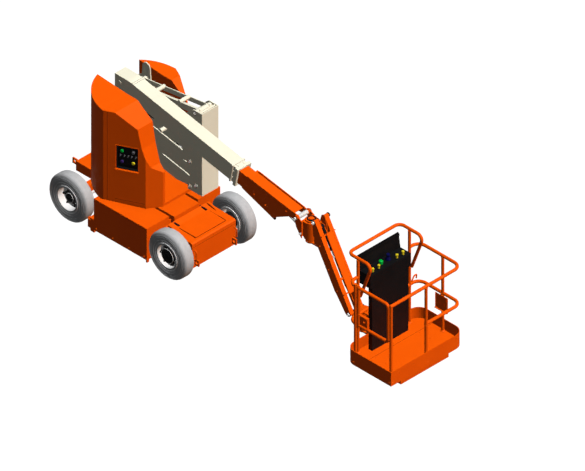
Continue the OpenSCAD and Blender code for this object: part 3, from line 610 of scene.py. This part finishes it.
def make_ground_controls():
    """Coloured knobs and a row of toggle switches behind the control opening."""
    towards_user = (0, -1, 0)
    knob = [(0.0205, -0.004), (0.0205, 0.006), (0.016, 0.011), (0.002, 0.012)]
    knob_y = 17
    knobs = ((205, 1352, green_plastic, "green"), (345, 1352, grey_plastic, "grey"),
             (205, 1200, purple_plastic, "purple"), (345, 1200, yellow_plastic, "yellow"))
    for x, z, material, word in knobs:
        shape = bmesh.new()
        place = ON_CONTROL_FACE @ facing(mm(x, knob_y, z), towards_user)
        add_lathe(shape, knob, place, sides=24)
        finish_mesh("ground_knob_" + word, shape, material, "turntable")
    toggle = [(0.011, 0), (0.011, 0.006), (0.005, 0.007), (0.005, 0.026), (0.007, 0.03)]
    toggle_y, toggle_z = 45, 1275
    switches = bmesh.new()
    for x in (180, 230, 275, 320, 370):
        place = ON_CONTROL_FACE @ facing(mm(x, toggle_y, toggle_z), towards_user)
        add_lathe(switches, toggle, place, sides=14)
    finish_mesh("ground_switches", switches, grey_plastic, "turntable")


def make_slew_bolts():
    """The ring of bolts under the turntable's base plate."""
    count, circle, plate_z = 24, 0.345, 0.5902
    bolts = bmesh.new()
    for k in range(count):
        spot = joint_point("swing") + around(circle, math.radians(360 / count * k), 0)
        spot.z = plate_z
        add_bolt(bolts, facing(spot, DOWN), SLEW_BOLT)
    finish_mesh("slew_bolts", bolts, black_paint, "turntable")


# Boom, fly and knuckle

def make_boom_trim():
    """Rear seams, the collar plate at the base boom's mouth and the wear pads' screws."""
    top, half_w = 118, 88
    seam_w = 3
    seams = bmesh.new()
    for u in (36, 62):
        add_box(seams, (u, -88.6, 117.4), (u + seam_w, 88.6, 118.8), ON_BOOM, bevel=0.0004)
    finish_mesh("boom_seams", seams, black_paint, "boom")
    back, front = 1849, 1856
    out_y, in_y = 113, 97
    out_z, in_z = 130, 112
    mouth = bmesh.new()
    add_box(mouth, (back, -out_y, in_z), (front, out_y, out_z), ON_BOOM)
    add_box(mouth, (back, -out_y, -out_z), (front, out_y, -in_z), ON_BOOM)
    add_box(mouth, (back, -out_y, -out_z), (front, -in_y, out_z), ON_BOOM)
    add_box(mouth, (back, in_y, -out_z), (front, out_y, out_z), ON_BOOM)
    finish_mesh("boom_mouth", mouth, cream_paint, "boom")
    screws = bmesh.new()
    for u in (1774, 1800):
        for y in (-45, 45):
            add_bolt(screws, ON_BOOM @ facing(mm(u, y, top), UP), PLATE_BOLT)
        for z in (-50, 50):
            for side in SIDES:
                add_bolt(screws, ON_BOOM @ facing(mm(u, side * half_w, z), (0, side, 0)), PLATE_BOLT)
    finish_mesh("pad_screws", screws, cream_paint, "boom")


def make_fly_trim():
    """The rail along the fly's top edge, side bolts and the rollers at its lower tip."""
    top_slope = -1.377
    half_w, roller_y = 87, 70
    rail = bmesh.new()
    along_top = ON_NOSE @ Matrix.Rotation(math.radians(top_slope), 4, "Y")
    add_box(rail, (-820, 60, 27), (-40, 72, 54), along_top)
    finish_mesh("fly_rail", rail, orange_paint, "fly")
    bolts = bmesh.new()
    for u, v in ((-180, -40), (-700, -170), (-500, -190)):
        for side in SIDES:
            add_bolt(bolts, ON_NOSE @ facing(mm(u, side * half_w, v), (0, side, 0)), FLANGE_BOLT)
    finish_mesh("fly_bolts", bolts, orange_paint, "fly")
    wheel = [(0.015, 0), (0.015, 0.017), (0.011, 0.02), (0.002, 0.02)]
    roller = bmesh.new()
    for side in SIDES:
        place = ON_NOSE @ facing(mm(-333, side * roller_y, -281), (0, side, 0))
        add_lathe(roller, wheel, place, sides=20)
    finish_mesh("fly_roller", roller, black_paint, "fly")


def make_turret_trim():
    """Rings and bolts of the jib turret's post, and the bolts on the jib mount's cheeks."""
    post_x, bolt_circle, bolt_count = 2627, 63, 6
    top_ring = [(0.040, 0), (0.040, 0.012), (0.056, 0.012), (0.056, 0)]
    low_ring = [(0.034, 0), (0.034, 0.006), (0.056, 0.006), (0.056, 0)]
    rings = bmesh.new()
    add_ring(rings, top_ring, facing(mx(post_x, 0, 1462.4), UP), sides=40)
    add_ring(rings, low_ring, facing(mx(post_x, 0, 1151.6), DOWN), sides=40)
    finish_mesh("turret_rings", rings, black_paint, "jib_turret")
    cheeks = bmesh.new()
    for side in SIDES:
        add_bolt(cheeks, facing(mx(2550, side * 108, 1262), (0, side, 0)), MOUNT_BOLT)
    finish_mesh("mount_bolts", cheeks, bright_steel, "jib_mount")
    bolts = bmesh.new()
    for k in range(bolt_count):
        angle = math.radians(360 / bolt_count * (k + 0.5))
        spot = mx(post_x + bolt_circle * math.cos(angle), bolt_circle * math.sin(angle), 1462)
        add_bolt(bolts, facing(spot, UP), TURRET_BOLT)
    finish_mesh("turret_bolts", bolts, orange_paint, "jib_turret")


def make_jib_trim():
    """The raised border on the jib's top plate and the bolts in its sides."""
    border_w, border_low, border_high = 8, 49, 54
    half_w = 112
    border = bmesh.new()
    for y in (-40, 57):
        add_box(border, (180, y, border_low), (950, y + border_w, border_high), ON_JIB)
    for u in (180, 942):
        add_box(border, (u, -38, border_low), (u + border_w, 63, border_high), ON_JIB)
    finish_mesh("jib_plate_border", border, orange_paint, "jib_arm")
    bolts = bmesh.new()
    for u in (300, 600, 880):
        for side in SIDES:
            add_bolt(bolts, ON_JIB @ facing(mm(u, side * half_w, -60), (0, side, 0)), PANEL_BOLT)
    finish_mesh("jib_bolts", bolts, orange_paint, "jib_arm")


# Platform, with its places in millimetres
floor_z, rail_mid_z, rail_top_z = 363, 905, 1440
rear_x, front_x, left_post_x, right_post_x = 3827, 4529, 4225, 3938
rear_post_y, side_y = 427, 581


def make_post_feet():
    """Welds at the feet of the posts and under the rails that meet them."""
    foot = [(0.034, 0), (0.034, 0.004), (0.026, 0.009), (0.0215, 0.016)]
    bead = [(0.0185, -0.031), (0.0225, -0.026), (0.0225, -0.02), (0.0185, -0.017)]
    foot_z = floor_z - 0.5
    front, left = (front_x, 0), (left_post_x, side_y)
    rear_left, rear_right = (rear_x, rear_post_y), (rear_x, -rear_post_y)
    front_right, right = (front_x, -side_y), (right_post_x, -side_y)
    welds = bmesh.new()
    for x, y in (rear_left, rear_right, front_right, front, left, right):
        add_lathe(welds, foot, facing(mx(x, y, foot_z), UP), sides=28)
    for x, y in (front, left, rear_left, rear_right):
        add_ring(welds, bead, facing(mx(x, y, rail_mid_z), UP), sides=24)
    for x, y in (left, front):
        add_ring(welds, bead, facing(mx(x, y, rail_top_z), UP), sides=24)
    finish_mesh("post_feet", welds, orange_paint, "platform")


def make_document_holder():
    """A bent plate on the left mid rail, with its hanger."""
    rear, front, low, high = 4125, 4336, 675, 885
    flange_w = 8
    clip_half = 4
    plate = bmesh.new()
    add_box(plate, (rear, 553, low), (front, 559, high))
    for x in (4131, 4322):
        add_box(plate, (x, 545, low), (x + flange_w, 560, high))
    add_box(plate, (rear, 536, 669), (front, 559, 677))
    for z in (846, 904):
        add_box(plate, (4205, 556, z - clip_half), (4245, 566, z + clip_half))
    add_box(plate, (4208, 556, 846), (4242, 562, 906))
    finish_mesh("document_holder", plate, orange_paint, "platform")


def make_lanyard_hook():
    """A bent bar beside the rear left post."""
    bend_r, bar_r = 0.016, 0.009
    hook = bmesh.new()
    bends = [mx(rear_x, 452, 912), mx(rear_x, 505, 992), mx(rear_x, 548, 992), mx(rear_x, 540, 940)]
    add_tube(hook, rounded_path(bends, bend_r), bar_r)
    finish_mesh("lanyard_hook", hook, orange_paint, "platform")


def make_latch_plate():
    """The gate's latch plate with its folded edges and round button."""
    rear, front, low, high = 4006, 4150, 915, 1070
    in_y, out_y = -562, -600
    fold = 8
    button = [(0.02, -0.008), (0.02, 0.002), (0.012, 0.004), (0.012, 0.016), (0.002, 0.018)]
    latch = bmesh.new()
    add_box(latch, (rear, -584, low), (front, -578, high))
    add_box(latch, (rear, out_y, high - fold), (front, in_y, high))
    add_box(latch, (front - fold, out_y, low), (front, in_y, high))
    add_lathe(latch, button, facing(mx(4085, -584, 990), (0, -1, 0)), sides=24)
    finish_mesh("latch_plate", latch, orange_paint, "gate")


def make_floor_trim():
    """Seams across the platform's floor, floor bolts and bolts in the front toe board."""
    seam_w, seam_low, seam_high = 3, 362.5, 364.5
    seams = bmesh.new()
    for x, y_end in ((4030, 590), (4440, 500)):
        add_box(seams, (x, -560, seam_low), (x + seam_w, y_end, seam_high), bevel=0.0004)
    finish_mesh("floor_seams", seams, seam_paint, "platform")
    bolts = bmesh.new()
    for x in (4060, 4230, 4400):
        for y in (-364, 364):
            add_bolt(bolts, facing(mx(x, y, floor_z), UP), FLOOR_BOLT)
    for y in (-480, -240, 240, 480):
        add_bolt(bolts, facing(mx(4558, y, 470), AHEAD), TOE_BOLT)
    finish_mesh("floor_bolts", bolts, orange_paint, "platform")


# Platform console, with its places in millimetres
console_top_z, stick_x, knob_x = 1455, 3840, 3895
knob_places_y = (-250, -150, 150, 250)


def make_console_controls():
    """The enable button, the joystick and the caps of the four knobs."""
    button = [(0.026, 0), (0.026, 0.038), (0.02, 0.044), (0.002, 0.046)]
    green = bmesh.new()
    add_lathe(green, button, facing(mx(stick_x, -60, console_top_z), UP), sides=28)
    finish_mesh("enable_button", green, green_plastic, "platform")
    boot_and_grip = [(0.036, 0), (0.036, 0.006), (0.03, 0.016), (0.026, 0.026), (0.0195, 0.036),
                     (0.0195, 0.058), (0.024, 0.066), (0.021, 0.076), (0.002, 0.079)]
    stick = bmesh.new()
    add_lathe(stick, boot_and_grip, facing(mx(stick_x, 60, console_top_z), UP), sides=28)
    finish_mesh("joystick", stick, blue_plastic, "platform")
    cap = [(0.0145, 0.03), (0.0175, 0.036), (0.0175, 0.05), (0.013, 0.056), (0.002, 0.057)]
    caps = bmesh.new()
    for y in knob_places_y:
        add_lathe(caps, cap, facing(mx(knob_x, y, console_top_z), UP), sides=24)
    finish_mesh("knob_caps", caps, yellow_plastic, "platform")


def make_console_trim():
    """Collars under the knobs, the guard's upper strip and the screws of the case and its stand."""
    collar = [(0.02, 0), (0.02, 0.01), (0.026, 0.008), (0.027, 0)]
    trim = bmesh.new()
    for y in knob_places_y:
        add_ring(trim, collar, facing(mx(knob_x, y, console_top_z), UP), sides=24)
    add_box(trim, (3752, -332, 1610), (3760, 332, 1650), bevel=0.003)
    for y in (-322, 322):
        for z in (1310, 1420):
            add_bolt(trim, facing(mx(3941, y, z), AHEAD), CONSOLE_SCREW)
    for y in (-285, 285):
        for z in (430, 700, 1000, 1230):
            add_bolt(trim, facing(mx(3934, y, z), AHEAD), CONSOLE_SCREW)
    finish_mesh("console_trim", trim, black_plastic, "platform")


# Camera, light and floor

def make_camera():
    """The isometric view of the photo: parallel lines, from the front right and above."""
    photo_w = 585
    px_per_m = 85.23
    distance = 14
    looks_at = mx(2313, 0, 1063)
    towards = Vector((1, -1, 1)).normalized()
    data = bpy.data.cameras.new("camera")
    data.type = "ORTHO"
    data.ortho_scale = photo_w / px_per_m
    data.clip_end = 100
    camera = bpy.data.objects.new("camera", data)
    camera.location = looks_at + towards * distance
    camera.rotation_euler = towards.to_track_quat("Z", "Y").to_euler()
    bpy.context.scene.collection.objects.link(camera)
    bpy.context.scene.camera = camera


def make_sun(name, direction, strength, angle, casts_shadow, colour=(1, 1, 1)):
    """A sun that shines from a direction. Its angle in degrees softens its shadows."""
    data = bpy.data.lights.new(name, "SUN")
    data.energy = strength
    data.color = colour
    data.use_shadow = casts_shadow
    data.angle = math.radians(angle)
    light = bpy.data.objects.new(name, data)
    light.rotation_euler = Vector(direction).to_track_quat("Z", "Y").to_euler()
    bpy.context.scene.collection.objects.link(light)


def make_light():
    """A dim even sky, a high sun, a weak one for soft shadows and a weak warm one from the front."""
    from_above = (0.47, 0.1, 0.88)
    world = bpy.data.worlds.new("studio")
    world.use_nodes = True
    background = world.node_tree.nodes["Background"]
    background.inputs["Color"].default_value = (1, 1, 1, 1)
    background.inputs["Strength"].default_value = 0.085
    bpy.context.scene.world = world
    make_sun("key", from_above, strength=2.9, angle=12, casts_shadow=False)
    make_sun("soft_shadow", from_above, strength=0.4, angle=25, casts_shadow=True)
    make_sun("warm_front", (0.85, 0.5, 0.05), strength=0.52, angle=25, casts_shadow=False,
             colour=(1, 0.35, 0.05))


def make_floor():
    """A wide white floor that takes the soft shadow and throws no light on the machine."""
    half_size = 40
    corners = [(-half_size, -half_size, 0), (half_size, -half_size, 0),
               (half_size, half_size, 0), (-half_size, half_size, 0)]
    mesh = bpy.data.meshes.new("floor")
    mesh.from_pydata(corners, [], [(0, 1, 2, 3)])
    floor = bpy.data.objects.new("floor", mesh)
    bpy.context.scene.collection.objects.link(floor)
    material, tree, shader = new_material("floor")
    tint = ramp(tree, noise(tree, scale=0.8), [(0.3, (0.34, 0.34, 0.34)), (0.7, (0.36, 0.36, 0.36))])
    tree.links.new(tint, shader.inputs["Base Color"])
    shader.inputs["Roughness"].default_value = 0.9
    shader.inputs["Specular IOR Level"].default_value = 0.0
    shader.inputs["Emission Color"].default_value = (1, 1, 1, 1)
    shader.inputs["Emission Strength"].default_value = 0.7
    mesh.materials.append(material)
    floor.visible_diffuse = False
    floor.visible_glossy = False


def make_backdrop():
    """A white shell far outside the floor, seen by the camera alone."""
    shell_r = 90
    shape = bmesh.new()
    bmesh.ops.create_icosphere(shape, subdivisions=4, radius=shell_r)
    mesh = bpy.data.meshes.new("backdrop")
    shape.to_mesh(mesh)
    shape.free()
    material, _, shader = new_material("backdrop")
    shader.inputs["Emission Color"].default_value = (1, 1, 1, 1)
    shader.inputs["Emission Strength"].default_value = 1.0
    mesh.materials.append(material)
    backdrop = bpy.data.objects.new("backdrop", mesh)
    bpy.context.scene.collection.objects.link(backdrop)
    backdrop.visible_diffuse = False
    backdrop.visible_glossy = False
    backdrop.visible_shadow = False


bpy.context.scene.view_settings.view_transform = "Standard"
make_camera()
make_light()
make_floor()
make_backdrop()
dress_nodes()
make_wheels()
make_upright_pins()
make_jib_pins()
make_chassis_seams()
make_chassis_fittings()
make_chassis_bolts()
make_hood_trim()
make_ground_controls()
make_slew_bolts()
make_boom_trim()
make_fly_trim()
make_turret_trim()
make_jib_trim()
make_post_feet()
make_document_holder()
make_lanyard_hook()
make_latch_plate()
make_floor_trim()
make_console_controls()
make_console_trim()
